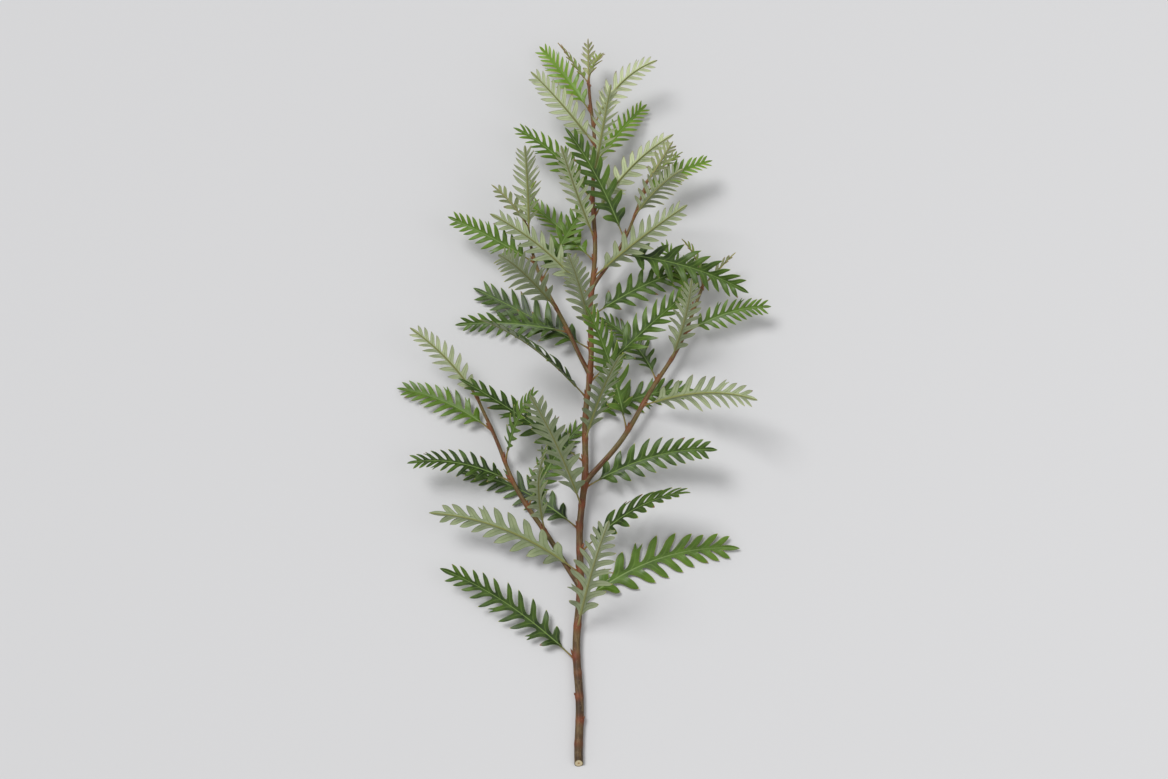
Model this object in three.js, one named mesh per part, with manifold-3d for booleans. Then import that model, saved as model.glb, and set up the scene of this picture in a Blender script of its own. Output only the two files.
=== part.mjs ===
// A cut stem of grevillea foliage, lying on a flat surface with its tip towards +Y.
// One woody piece, the main stem with its side shoots, carries fern-like leaves in a spiral.
// Each leaf is a thin folded blade whose outline is cut into forward-leaning lobes.
// Millimetres, +Z up. The origin is the middle of the small flat that the cut end rests on.
import * as THREE from "three";
import { mergeVertices } from "three/addons/utils/BufferGeometryUtils.js";
import Module from "manifold-3d";

const wasm = await Module();
wasm.setup();

// Driving sizes of the wood, in millimetres and degrees
const STEM_LENGTH = 665;
const STEM_RADIUS = 4.1;
const STEM_TIP_RADIUS = 1.5;
const STEM_SIDES = 8;
const STEM_RINGS = 30;
const SHOOT_SIDES = 6;
const SHOOT_RINGS = 9;
const SHOOT_TAPER = 0.55; // the tip of a side shoot against its foot
const REST_DEPTH = 0.45; // how far the bark is flattened where the cut end rests
const REST_LENGTH = 24;
const CUT_SLANT = 0.7; // run of the slanted cut for each millimetre across it
const BUD_LENGTH = 9;
const BUD_RADII = [1.25, 0.45];

// Driving sizes of the leaves
const MAIN_LEAVES = 27;
const MAIN_RANGE = [0.15, 0.968]; // the stretch of the main stem that carries leaves, as shares of it
const SIDE_RANGE = [0.3, 0.93];
const PRUNED_RANGE = [0.3, 0.96];
const LEAF_LONGEST = 150;
const SIDE_LEAF_LONGEST = 124;
const LEAF_SHORTEST = 86;
const YOUNG_LEAF = 52;
const YOUNG_STEP = 8; // how much shorter each next young leaf of a tip is
const LEAF_THICK = 0.7;
const RIB_DEPTH = 0.8; // how far the midrib stands below the blade
const STALK_SHARE = 0.085; // bare stalk for each millimetre of leaf
const STALK_RADII = [1.1, 0.85]; // half widths of the stalk at its foot and halfway
const STALK_FOOT = 0.55; // from a stalk's middle line to the lowest corner of its foot
const JOINT_GAP = 0.3; // clear space between a leaf's stalk and the bark
const CLEARANCE = 1.0; // least room that a leaf keeps from its neighbours, measured off its faces
const NEAR_FOOT = 14; // length at a leaf's foot that needs no such room
const SPIRAL = 137.5; // turn from one leaf to the next
const MOST_TRIES = 200;

const SIDE_SHOOTS = [
  { from: 0.25, fork: -40, closing: 20, pitches: [3, 1, 2], length: 215, radius: 2.7, leaves: 6 },
  { from: 0.4, fork: 37, closing: 18, pitches: [2, 1, 3], length: 225, radius: 2.8, leaves: 6 },
  { from: 0.56, fork: -35, closing: 16, pitches: [4, 5, 8], length: 160, radius: 2.3, leaves: 5 },
  { from: 0.69, fork: 33, closing: 14, pitches: [5, 8, 12], length: 115, radius: 2.0, leaves: 4 },
];
const PRUNED_SHOOT = 0; // the one whose tip was cut off

const rad = THREE.MathUtils.degToRad;
const mix = THREE.MathUtils.lerp;
const ease = THREE.MathUtils.smoothstep;
const UP = new THREE.Vector3(0, 0, 1);

// A repeatable draw between 0 and 1 for one thing about one leaf.
function draw(leaf, thing) {
  const wave = Math.sin(leaf * 12.9898 + thing * 78.233) * 43758.5453;
  return wave - Math.floor(wave);
}

// The quadratic through three values at 0, a half and 1.
function through([a, b, c], t) {
  return a * (1 - t) * (1 - 2 * t) + 4 * b * t * (1 - t) + c * t * (2 * t - 1);
}

// An axis grows from its start in small steps; its heading turns from +Y towards +X and wavers a little.
const AXIS_STEPS = 64;
const WAVER = 4.5;
const WAVER_LENGTH = 110;
function growAxis(start, length, headings, pitches, radii) {
  const waver = (t) => WAVER * Math.sin((2 * Math.PI * length * t) / WAVER_LENGTH);
  const heading = (t) => rad(through(headings, t) + waver(t));
  const pitch = (t) => rad(through(pitches, t));
  const along = (t) =>
    new THREE.Vector3(
      Math.sin(heading(t)) * Math.cos(pitch(t)),
      Math.cos(heading(t)) * Math.cos(pitch(t)),
      Math.sin(pitch(t)),
    );
  const points = [start.clone()];
  for (let i = 0; i < AXIS_STEPS; i++) {
    const step = along((i + 0.5) / AXIS_STEPS).multiplyScalar(length / AXIS_STEPS);
    points.push(points[i].clone().add(step));
  }
  const at = (t) => {
    const place = Math.min(t * AXIS_STEPS, AXIS_STEPS - 1e-9);
    const i = Math.floor(place);
    return points[i].clone().lerp(points[i + 1], place - i);
  };
  return { at, along, headings, radius: (t) => mix(radii[0], radii[1], t) };
}

// Unit vectors across an axis: up and to the right of its direction.
function across(direction) {
  const right = direction.clone().cross(UP).normalize();
  const up = right.clone().cross(direction);
  return { right, up };
}

const mainAxis = growAxis(
  new THREE.Vector3(0.4, -REST_LENGTH / 2, STEM_RADIUS - REST_DEPTH),
  STEM_LENGTH,
  [-3, 3, -4],
  [0, 3.2, 1.5],
  [STEM_RADIUS, STEM_TIP_RADIUS],
);
const sideAxes = SIDE_SHOOTS.map((shoot) => {
  const heading = through(mainAxis.headings, shoot.from) + shoot.fork;
  const inward = -Math.sign(shoot.fork) * shoot.closing;
  return growAxis(
    mainAxis.at(shoot.from),
    shoot.length,
    [heading, heading + inward / 2, heading + inward],
    shoot.pitches,
    [shoot.radius, shoot.radius * SHOOT_TAPER],
  );
});

// A solid from a closed geometry, with the vertices that its faces share merged.
function solidOf(geometry) {
  geometry.deleteAttribute("normal");
  geometry.deleteAttribute("uv");
  const merged = mergeVertices(geometry, 1e-3);
  const mesh = new wasm.Mesh({
    numProp: 3,
    vertProperties: merged.attributes.position.array,
    triVerts: new Uint32Array(merged.index.array),
  });
  return new wasm.Manifold(mesh);
}

function solidFrom(points, triangles) {
  const geometry = new THREE.BufferGeometry();
  geometry.setAttribute("position", new THREE.Float32BufferAttribute(points.flatMap((p) => p.toArray()), 3));
  geometry.setIndex(triangles.flat());
  return solidOf(geometry);
}

// A solid tube of rings along an axis, closed by fans at both ends.
function tube(axis, sides, rings, slant = 0) {
  const points = [];
  const triangles = [];
  for (let i = 0; i < rings; i++) {
    const t = i / (rings - 1);
    const centre = axis.at(t);
    const direction = axis.along(t);
    const { right, up } = across(direction);
    for (let k = 0; k < sides; k++) {
      const turn = ((k + 0.5) / sides) * 2 * Math.PI;
      const x = Math.sin(turn) * axis.radius(t);
      const z = Math.cos(turn) * axis.radius(t);
      const shear = i === 0 ? slant * z : 0;
      const point = centre.clone().addScaledVector(right, x).addScaledVector(up, z);
      points.push(point.addScaledVector(direction, shear));
    }
  }
  for (let i = 0; i < rings - 1; i++) {
    for (let k = 0; k < sides; k++) {
      const a = i * sides + k;
      const b = i * sides + ((k + 1) % sides);
      triangles.push([a, b, b + sides], [a, b + sides, a + sides]);
    }
  }
  const last = (rings - 1) * sides;
  for (let k = 1; k < sides - 1; k++) {
    triangles.push([0, k + 1, k], [last, last + k, last + k + 1]);
  }
  return solidFrom(points, triangles);
}

// All the wood: the main stem, the side shoots sunk into it, and the flat that the cut end rests on.
function makeWood() {
  let wood = tube(mainAxis, STEM_SIDES, STEM_RINGS, CUT_SLANT);
  for (const axis of sideAxes) wood = wood.add(tube(axis, SHOOT_SIDES, SHOOT_RINGS));
  const depth = 4 * STEM_RADIUS;
  const below = new THREE.BoxGeometry(STEM_LENGTH, 2 * STEM_LENGTH, depth).translate(0, 0, -depth / 2);
  return wood.subtract(solidOf(below));
}

// How many pairs of lobes a leaf has: nine or ten when grown, fewer when young.
function lobePairs(length, leaf) {
  return Math.round(mix(4.5, 9.5, ease(length, 40, 85)) + mix(-0.5, 0.5, draw(leaf, 8)));
}

// The outline of one leaf, flat: u runs along the midrib and v across it. Behind the bare stalk, pairs
// of lobes stand on a narrow strip. Each starts where the one behind it ends, and they are longest at
// a third of the leaf and get shorter, closer and more forward-leaning towards its tip.
function leafPlan(length, leaf) {
  const stalk = 2 + STALK_SHARE * length;
  const pairs = lobePairs(length, leaf);
  const wing = (x) => length * mix(0.025, 0.014, x) * Math.min(1, 0.6 + 4 * x);
  const shrink = (k) => 1 - (0.42 * k) / pairs;
  const total = Array.from({ length: pairs + 1 }, (_, k) => shrink(k)).reduce((sum, p) => sum + p);
  const pitch = (length - stalk) / (total + 0.35);
  const longest = (8 + 0.115 * length) * mix(0.74, 1.06, draw(leaf, 9));
  const rows = [];
  let u = stalk;
  for (let k = 0; k <= pairs; k++) {
    const x = Math.min(1, k / (pairs - 1));
    const long = longest * Math.min(1, 0.62 + 1.4 * x) * (1 - 0.55 * Math.pow(x, 2.2));
    const lobes = [0, 1].map((side) => {
      const lean = mix(60, 36, x) + mix(-3, 3, draw(leaf, 60 + 2 * k + side));
      const reach = long * mix(0.92, 1.06, draw(leaf, 20 + 2 * k + side));
      return lobeOutline(u, wing(x), pitch * shrink(k), reach, lean);
    });
    rows.push({ u, half: wing(x), lobes });
    u += pitch * shrink(k);
  }
  return { length, stalk, rows: rows.slice(0, pairs), end: rows[pairs] };
}

// One lobe as three points [u, v]: its root nearest the stalk, the bulge of its back, and its tip.
function lobeOutline(u, root, width, long, lean) {
  const step = (angle, along) => [along * Math.cos(rad(angle)), along * Math.sin(rad(angle))];
  const [au, av] = step(lean + 9, 0.52 * long);
  const [tu, tv] = step(lean - 9, 0.48 * long);
  const [nu, nv] = step(lean + 90, 0.24 * width);
  const middle = u + 0.56 * width;
  return [
    [u, root],
    [middle + au + nu, root + av + nv],
    [middle + au + tu, root + av + tv],
  ];
}

// Where a leaf stands and how it bends. Try 0 is the natural pose; each later try swings it a little
// further out along a golden spiral, slides its foot along the bark and lays it a layer or two higher.
// Leaves on the lower half of the spiral are fanned out sideways by the surface.
const GOLDEN_TURN = 2.39996;
function leafPose(axis, t, length, leaf, order, attempt) {
  const swing = 3 * Math.sqrt(attempt) * Math.cos(attempt * GOLDEN_TURN);
  const spread = 3 * Math.sqrt(attempt) * Math.sin(attempt * GOLDEN_TURN);
  const turn = ((order * SPIRAL + 40 + 20 * draw(leaf, 1)) % 360) - 180;
  const around = Math.abs(turn);
  const fanned = around < 55 ? around : mix(55, 122, (around - 55) / 125);
  const opening = mix(52, 30, ease(t, 0.55, 1)) + mix(-9, 9, draw(leaf, 2)) + spread;
  return {
    axis,
    t,
    length,
    seat: axis.radius(t) + JOINT_GAP + STALK_FOOT,
    ahead: 3.5 * [0, -1, 1, -2, 2][attempt % 5],
    azimuth: rad(Math.sign(turn) * fanned + swing),
    opening: rad(opening),
    bend: rad(mix(6, 46, draw(leaf, 3))),
    sway: rad(mix(-20, 20, draw(leaf, 4))),
    twist: rad(mix(-34, 34, draw(leaf, 5))),
    fold: rad(mix(8, 20, draw(leaf, 6))),
    lieFlat: 0.9 * ease(fanned, 25, 80),
    greenUp: fanned > 84 || draw(leaf, 7) < 0.55 ? 1 : -1,
    floor: 0.5 + 3 * (attempt % 4),
  };
}

// The curved surface of a leaf: place(u, v, lift) gives a point of its middle surface. The halves of
// the blade rise from the midrib and dish outwards, and nothing of it goes below its floor.
const LEAF_STEPS = 32;
const DISHING = 0.011;
const FLOOR_EASE = 5;
function leafSurface(pose) {
  const { axis, t, length } = pose;
  const stemWay = axis.along(t);
  const { right, up } = across(stemWay);
  const outward = up.multiplyScalar(Math.cos(pose.azimuth)).addScaledVector(right, Math.sin(pose.azimuth));
  const aside = stemWay.clone().cross(outward);
  const frameAt = (s) => {
    const angle = pose.opening + pose.bend * Math.pow(s, 1.3);
    const along = stemWay
      .clone()
      .multiplyScalar(Math.cos(angle))
      .addScaledVector(outward, Math.sin(angle))
      .addScaledVector(aside, Math.tan(pose.sway) * s)
      .normalize();
    const face = stemWay.clone().multiplyScalar(Math.sin(angle)).addScaledVector(outward, -Math.cos(angle));
    const settle = pose.lieFlat * ease(s, 0, 0.22);
    const normal = face.multiplyScalar(1 - settle).addScaledVector(UP, settle * pose.greenUp);
    normal.addScaledVector(along, -normal.dot(along)).normalize();
    normal.applyAxisAngle(along, pose.twist * s);
    return { along, normal, side: along.clone().cross(normal) };
  };
  const start = axis.at(t).addScaledVector(outward, pose.seat).addScaledVector(stemWay, pose.ahead);
  const line = [start];
  for (let i = 0; i < LEAF_STEPS; i++) {
    const { along } = frameAt((i + 0.5) / LEAF_STEPS);
    line.push(line[i].clone().addScaledVector(along, length / LEAF_STEPS));
  }
  return (u, v, lift = 0) => {
    const s = Math.min(Math.max(u / length, 0), 1);
    const place = Math.min(s * LEAF_STEPS, LEAF_STEPS - 1e-9);
    const i = Math.floor(place);
    const point = line[i].clone().lerp(line[i + 1], place - i);
    const { normal, side } = frameAt(s);
    const rise = Math.abs(v) * Math.sin(pose.fold) - DISHING * v * v + lift;
    point.addScaledVector(side, v * Math.cos(pose.fold)).addScaledVector(normal, rise);
    const over = point.z - pose.floor;
    const soft = FLOOR_EASE * FLOOR_EASE * ease(s, 0.1, 0.3);
    point.z = pose.floor + 0.5 * (over + Math.sqrt(over * over + soft));
    return point;
  };
}

// A closed blade from a leaf's pose: the lobed outline on the curved surface, given its thickness.
// Each lobe's tip is lifted or lowered a little. A test solid is fatter and leaves out the foot.
const TIP_LIFT = 0.07;
function leafSolid(pose, leaf, extra = 0, fromU = 0) {
  const plan = leafPlan(pose.length, leaf);
  const place = leafSurface(pose);
  const middle = [];
  const triangles = [];
  const kinds = [];
  const add = (u, v, kind = "blade", lift = 0) => {
    middle.push(place(u, v, lift));
    kinds.push(kind);
    return middle.length - 1;
  };
  const stalk = [
    [0, STALK_RADII[0]],
    [0.55 * plan.stalk, STALK_RADII[1]],
  ].filter(([u]) => u >= fromU);
  const ribs = stalk.map(([u]) => add(u, 0, "stalk"));
  for (const row of [...plan.rows, plan.end]) ribs.push(add(row.u, 0, "rib"));
  const tip = add(plan.length, 0);
  for (const side of [0, 1]) {
    const sign = side ? -1 : 1;
    const face = (a, b, c) => triangles.push(side ? [a, c, b] : [a, b, c]);
    const edges = stalk.map(([u, half]) => [add(u, sign * half, "stalk")]);
    plan.rows.forEach((row, k) => {
      const [root, back, point] = row.lobes[side];
      const lift = mix(-TIP_LIFT, TIP_LIFT, draw(leaf, 100 + 2 * k + side)) * point[1];
      edges.push([
        add(root[0], sign * root[1]),
        add(back[0], sign * back[1], "blade", 0.3 * lift),
        add(point[0], sign * point[1], "blade", lift),
      ]);
    });
    edges.push([add(plan.end.u, sign * plan.end.half)]);
    edges.forEach(([root, back, point], j) => {
      if (j === edges.length - 1) return face(ribs[j], root, tip);
      const next = edges[j + 1][0];
      if (point !== undefined) {
        face(root, back, point);
        face(root, point, next);
      }
      face(ribs[j], root, next);
      face(ribs[j], next, ribs[j + 1]);
    });
  }
  return thicken(middle, triangles, kinds, extra);
}

// Gives a sheet of triangles its thickness, with walls round its outline and a rib below its middle line.
function thicken(middle, triangles, kinds, extra) {
  const normals = middle.map(() => new THREE.Vector3());
  for (const [a, b, c] of triangles) {
    const ab = middle[b].clone().sub(middle[a]);
    const normal = ab.cross(middle[c].clone().sub(middle[a])).normalize();
    for (const i of [a, b, c]) normals[i].add(normal);
  }
  const half = LEAF_THICK / 2 + extra;
  const upper = { blade: half, rib: half, stalk: half + 0.15 };
  const lower = { blade: half, rib: half + RIB_DEPTH, stalk: half + 0.45 };
  for (const normal of normals) normal.normalize();
  const points = middle.map((point, i) => point.clone().addScaledVector(normals[i], upper[kinds[i]]));
  middle.forEach((point, i) => {
    const low = point.clone().addScaledVector(normals[i], -lower[kinds[i]]);
    if (extra === 0) low.z = Math.max(low.z, 0);
    points.push(low);
  });
  const count = middle.length;
  const once = new Map();
  for (const [a, b, c] of triangles) {
    for (const [p, q] of [[a, b], [b, c], [c, a]]) {
      if (!once.delete(`${q},${p}`)) once.set(`${p},${q}`, [p, q]);
    }
  }
  const faces = [...triangles, ...triangles.map(([a, b, c]) => [a + count, c + count, b + count])];
  for (const [p, q] of once.values()) faces.push([p, p + count, q + count], [p, q + count, q]);
  return solidFrom(points, faces);
}

// A straight axis, for the bud that closes a shoot.
function straightAxis(start, way, length, radii) {
  return {
    at: (t) => start.clone().addScaledVector(way, length * t),
    along: () => way.clone(),
    radius: (t) => mix(radii[0], radii[1], t),
  };
}

// The soft growing tip of a shoot: a bud on the end of the wood with young leaves sunk into it, the
// next one always shorter, higher on the bud and closer to its line.
function tipSolid(axis, number) {
  const way = axis.along(1);
  const foot = axis.at(1).addScaledVector(way, JOINT_GAP);
  let tuft = tube(straightAxis(foot, way, BUD_LENGTH, BUD_RADII), SHOOT_SIDES, 3);
  const leaves = axis === mainAxis ? 3 : 2;
  for (let i = 0; i < leaves; i++) {
    const leaf = 200 + 5 * number + i;
    const pose = leafPose(axis, 1, YOUNG_LEAF - YOUNG_STEP * i, leaf, 3 * number + i, 0);
    pose.opening = rad(30 - 7 * i);
    pose.seat = 0.3;
    pose.ahead = 2.4 + 2.2 * i;
    pose.lieFlat *= 0.5;
    tuft = tuft.add(leafSolid(pose, leaf));
  }
  return tuft;
}

// Every leaf in order: the axis that carries it, its place on it, its turn in the spiral and its size.
function listLeaves() {
  const list = [];
  for (let i = 0; i < MAIN_LEAVES; i++) {
    const share = i / (MAIN_LEAVES - 1);
    const t = mix(...MAIN_RANGE, Math.pow(share, 0.9));
    const size = mix(LEAF_LONGEST, LEAF_SHORTEST, Math.pow(share, 1.7)) * mix(0.82, 1.08, draw(i, 10));
    list.push({ name: `main_leaf_${String(i + 1).padStart(2, "0")}`, axis: mainAxis, t, order: i, size });
  }
  SIDE_SHOOTS.forEach((shoot, s) => {
    for (let i = 0; i < shoot.leaves; i++) {
      const share = i / (shoot.leaves - 1);
      const t = mix(...(s === PRUNED_SHOOT ? PRUNED_RANGE : SIDE_RANGE), share);
      const size = mix(SIDE_LEAF_LONGEST, LEAF_SHORTEST, share) * mix(0.82, 1.1, draw(40 + 10 * s + i, 10));
      list.push({ name: `side_${s + 1}_leaf_${i + 1}`, axis: sideAxes[s], t, order: i + 2 * s + 1, size });
    }
  });
  return list.map((leaf, i) => ({ ...leaf, seed: i + 1 }));
}

function touches(a, b) {
  const [p, q] = [a.boundingBox(), b.boundingBox()];
  for (let i = 0; i < 3; i++) if (p.min[i] > q.max[i] || q.min[i] > p.max[i]) return false;
  return a.intersect(b).volume() > 0;
}

// The first pose of a leaf that keeps clear of all the solids given.
function settle(leaf, others) {
  for (let attempt = 0; attempt < MOST_TRIES; attempt++) {
    const pose = leafPose(leaf.axis, leaf.t, leaf.size, leaf.seed, leaf.order, attempt);
    const wide = leafSolid(pose, leaf.seed, CLEARANCE, NEAR_FOOT);
    if (others.some((other) => touches(wide, other))) continue;
    const exact = leafSolid(pose, leaf.seed);
    if (!others.some((other) => touches(exact, other))) return exact;
  }
  throw new Error(`no clear pose for ${leaf.name}`);
}

const bark = new THREE.MeshStandardMaterial({ color: 0x8a6a48, roughness: 0.75, metalness: 0 });
const blade = new THREE.MeshStandardMaterial({ color: 0x46702f, roughness: 0.5, metalness: 0 });
const young = new THREE.MeshStandardMaterial({ color: 0x85a04a, roughness: 0.55, metalness: 0 });

const group = new THREE.Group();
const placed = [];
function keep(name, solid, material) {
  const { vertProperties, triVerts } = solid.getMesh();
  const geometry = new THREE.BufferGeometry();
  geometry.setAttribute("position", new THREE.BufferAttribute(vertProperties, 3));
  geometry.setIndex(new THREE.BufferAttribute(triVerts, 1));
  geometry.computeVertexNormals();
  const mesh = new THREE.Mesh(geometry, material);
  mesh.name = name;
  group.add(mesh);
  placed.push(solid);
}

keep("woody_stem", makeWood(), bark);
const growing = [mainAxis, ...sideAxes.filter((_, s) => s !== PRUNED_SHOOT)];
growing.forEach((axis, number) => keep(`shoot_tip_${number + 1}`, tipSolid(axis, number), young));

// Leaves go on from the cut end upwards, each clear of all that is there before it.
const upwards = listLeaves().sort((a, b) => a.axis.at(a.t).y - b.axis.at(b.t).y);
for (const leaf of upwards) keep(leaf.name, settle(leaf, placed), blade);

export default group;
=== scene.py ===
import math

import bpy
import numpy as np
from mathutils import Matrix, Vector


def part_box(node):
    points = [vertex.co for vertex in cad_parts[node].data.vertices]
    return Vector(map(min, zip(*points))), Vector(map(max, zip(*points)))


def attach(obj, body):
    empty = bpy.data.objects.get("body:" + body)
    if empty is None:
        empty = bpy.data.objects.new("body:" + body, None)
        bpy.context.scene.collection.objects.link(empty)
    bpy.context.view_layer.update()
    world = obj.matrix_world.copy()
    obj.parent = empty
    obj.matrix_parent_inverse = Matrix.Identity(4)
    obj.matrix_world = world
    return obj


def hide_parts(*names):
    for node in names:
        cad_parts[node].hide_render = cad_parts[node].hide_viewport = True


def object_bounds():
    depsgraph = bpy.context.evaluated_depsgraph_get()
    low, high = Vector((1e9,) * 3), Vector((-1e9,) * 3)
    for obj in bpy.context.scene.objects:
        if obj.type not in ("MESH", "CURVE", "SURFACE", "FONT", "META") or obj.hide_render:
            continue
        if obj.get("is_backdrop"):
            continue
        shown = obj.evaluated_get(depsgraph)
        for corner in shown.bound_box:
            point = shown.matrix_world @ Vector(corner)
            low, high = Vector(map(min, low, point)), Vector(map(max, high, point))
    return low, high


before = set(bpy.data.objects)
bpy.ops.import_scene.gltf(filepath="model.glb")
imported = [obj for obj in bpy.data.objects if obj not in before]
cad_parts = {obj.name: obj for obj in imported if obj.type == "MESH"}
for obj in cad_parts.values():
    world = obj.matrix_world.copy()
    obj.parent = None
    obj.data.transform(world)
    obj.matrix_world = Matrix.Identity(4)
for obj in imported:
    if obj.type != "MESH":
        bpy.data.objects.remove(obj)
cad_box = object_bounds()

# The lines of growth. A main stem and four side shoots grew as one piece of wood, as thin as a
# pencil; the stem was cut off at its foot and one side shoot was pruned. All that follows stands
# on these middle lines, which are in millimetres and degrees.
MM = 0.001
STEM_LENGTH = 665
STEM_RADIUS = 4.1
STEM_TIP_RADIUS = 1.5
STEM_HEADINGS = (-3, 3, -4)
STEM_PITCHES = (0, 3.2, 1.5)
STEM_ASIDE = 0.4
SHOOT_TAPER = 0.55
REST_DEPTH = 0.45
REST_LENGTH = 24
AXIS_STEPS = 64
WAVER = 4.5
WAVER_LENGTH = 110
SIDE_SHOOTS = [
    dict(start=0.25, fork=-40, closing=20, pitches=(3, 1, 2), length=215, radius=2.7, leaves=6),
    dict(start=0.4, fork=37, closing=18, pitches=(2, 1, 3), length=225, radius=2.8, leaves=6),
    dict(start=0.56, fork=-35, closing=16, pitches=(4, 5, 8), length=160, radius=2.3, leaves=5),
    dict(start=0.69, fork=33, closing=14, pitches=(5, 8, 12), length=115, radius=2.0, leaves=4),
]
PRUNED_SHOOT = 0
UP = Vector((0, 0, 1))


def mix(low, high, share):
    return low + (high - low) * share


def through(values, t):
    """The quadratic through three values at 0, a half and 1."""
    a, b, c = values
    return a * (1 - t) * (1 - 2 * t) + 4 * b * t * (1 - t) + c * t * (2 * t - 1)


def point_on(line, share):
    """The place at a share of the way along a line of evenly spaced points."""
    steps = len(line) - 1
    i = min(math.floor(share * steps), steps - 1)
    return line[i].lerp(line[i + 1], share * steps - i)


class Axis:
    """The middle line of a stem or shoot with its thickness, at any share t of its length."""

    def __init__(self, start, length, headings, pitches, radii):
        self.length = length
        self.headings = headings
        self.pitches = pitches
        self.radii = radii
        self.points = [start.copy()]
        for i in range(AXIS_STEPS):
            step = self.along((i + 0.5) / AXIS_STEPS) * (length / AXIS_STEPS)
            self.points.append(self.points[i] + step)

    def along(self, t):
        waver = WAVER * math.sin(2 * math.pi * self.length * t / WAVER_LENGTH)
        heading = math.radians(through(self.headings, t) + waver)
        pitch = math.radians(through(self.pitches, t))
        level = math.cos(pitch)
        return Vector((math.sin(heading) * level, math.cos(heading) * level, math.sin(pitch)))

    def at(self, t):
        return point_on(self.points, t)

    def radius(self, t):
        return mix(*self.radii, t)

    def across(self, t):
        way = self.along(t)
        right = way.cross(UP).normalized()
        return right, right.cross(way)

    def outward(self, t, turn):
        """The direction away from the middle line, turned round it from its top."""
        right, up = self.across(t)
        return up * math.cos(turn) + right * math.sin(turn)


main_axis = Axis(
    Vector((STEM_ASIDE, -REST_LENGTH / 2, STEM_RADIUS - REST_DEPTH)),
    STEM_LENGTH,
    STEM_HEADINGS,
    STEM_PITCHES,
    (STEM_RADIUS, STEM_TIP_RADIUS),
)
side_axes = []
for shoot in SIDE_SHOOTS:
    heading = through(main_axis.headings, shoot["start"]) + shoot["fork"]
    inward = -math.copysign(shoot["closing"], shoot["fork"])
    side_axes.append(Axis(
        main_axis.at(shoot["start"]),
        shoot["length"],
        (heading, heading + inward / 2, heading + inward),
        shoot["pitches"],
        (shoot["radius"], shoot["radius"] * SHOOT_TAPER),
    ))

# The stand of the leaves. They follow each other up every axis in a spiral, the largest low on the
# main stem. Each stands at the angle that it grew at, and gives way a little where the surface or
# a neighbour was in its path.
MAIN_LEAVES = 27
MAIN_RANGE = (0.15, 0.968)
MAIN_CLOSING = 0.9
SIDE_RANGE = (0.3, 0.93)
PRUNED_RANGE = (0.3, 0.96)
LEAF_LONGEST = 150
SIDE_LEAF_LONGEST = 124
LEAF_SHORTEST = 86
SHORTENING = 1.7
MAIN_SIZES = (0.82, 1.08)
SIDE_SIZES = (0.82, 1.1)
FIRST_SIDE_DRAW = 40
DRAWS_A_SHOOT = 10
STALK_LEAST = 2
STALK_SHARE = 0.085
STALK_FOOT = 0.55
FOOT_HALF = 1.1
JOINT_GAP = 0.3
SPIRAL = 137.5
SPIRAL_START = 40
SPIRAL_DRAW = 20
FAN_FROM = 55
FAN_TO = 122
OPENING = (52, 30)
OPENING_FROM = 0.55
OPENING_DRAW = (-9, 9)
BEND = (6, 46)
BEND_GATHERS = 1.3
SWAY = (-20, 20)
TWIST = (-34, 34)
FOLD = (8, 20)
FLATTEST = 0.9
FLAT_FANNED = (25, 80)
FLAT_BY = 0.22
GREEN_FANNED = 84
GREEN_SHARE = 0.55
GOLDEN_TURN = 2.39996
MOST_TRIES = 200
TRY_SPREAD = 3
TRY_SHIFT = 3.5
TRY_SHIFTS = (0, -1, 1, -2, 2)
FLOOR_GAP = 0.5
FLOOR_STEP = 3
FLOOR_STEPS = 4
FLOOR_EASE = 5
FLOOR_EASED = (0.1, 0.3)
BOX_ROOM = (-0.1, 1.4)
LEAF_STEPS = 32
DISHING = 0.011
LOBE_PAIRS = (4.5, 9.5)
PAIR_LENGTHS = (40, 85)
ROW_SHRINK = 0.42
END_ROW = 0.35
LOBE_LEAST = 8
LOBE_SHARE = 0.115
LOBE_SIZES = (0.74, 1.06)
LOBE_LENGTHS = (0.92, 1.06)
FIRST_LOBES = 0.62
LAST_SHRINK = 0.55
WING_SHARE = (0.025, 0.014)
LOBE_LEAN = (60, 36)
LEAN_DRAW = (-3, 3)
LOBE_FOOT = 0.56
LOBE_CURVE = 9
LOBE_HALF = 0.52
LOBE_BULGE = 0.24
TIP_LIFT = (-0.07, 0.07)
BACK_LIFT = 0.3
# Where each drawn thing starts to count. What is drawn lobe by lobe counts on from there.
DRAWS = dict(
    turn=1, opening=2, bend=3, sway=4, twist=5, fold=6, face=7, pairs=8, reach=9, size=10,
    lobe_width=11, tone=12, bud=13, lobe_point=14, lobe_length=20, bud_hair=31, down_hair=32,
    silk_side=33, silk_place=34, silk_length=35, lobe_lean=60, lobe_lift=100, lobe_tint=140,
    lobe_turn=180, lobe_fork=220, lobe_dry=260, lobe_sway=300,
)


def ease(value, low, high):
    """Rises smoothly from 0 at the low end of a range to 1 at the high end."""
    x = min(max((value - low) / (high - low), 0.0), 1.0)
    return x * x * (3 - 2 * x)


def draw(leaf, thing, lobe=0):
    """A repeatable number between 0 and 1 for one thing about one leaf or hair, or one of its lobes."""
    wave = math.sin(leaf * 12.9898 + (DRAWS[thing] + lobe) * 78.233) * 43758.5453
    return wave - math.floor(wave)


def drawn(limits, leaf, thing, lobe=0):
    return mix(*limits, draw(leaf, thing, lobe))


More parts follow.
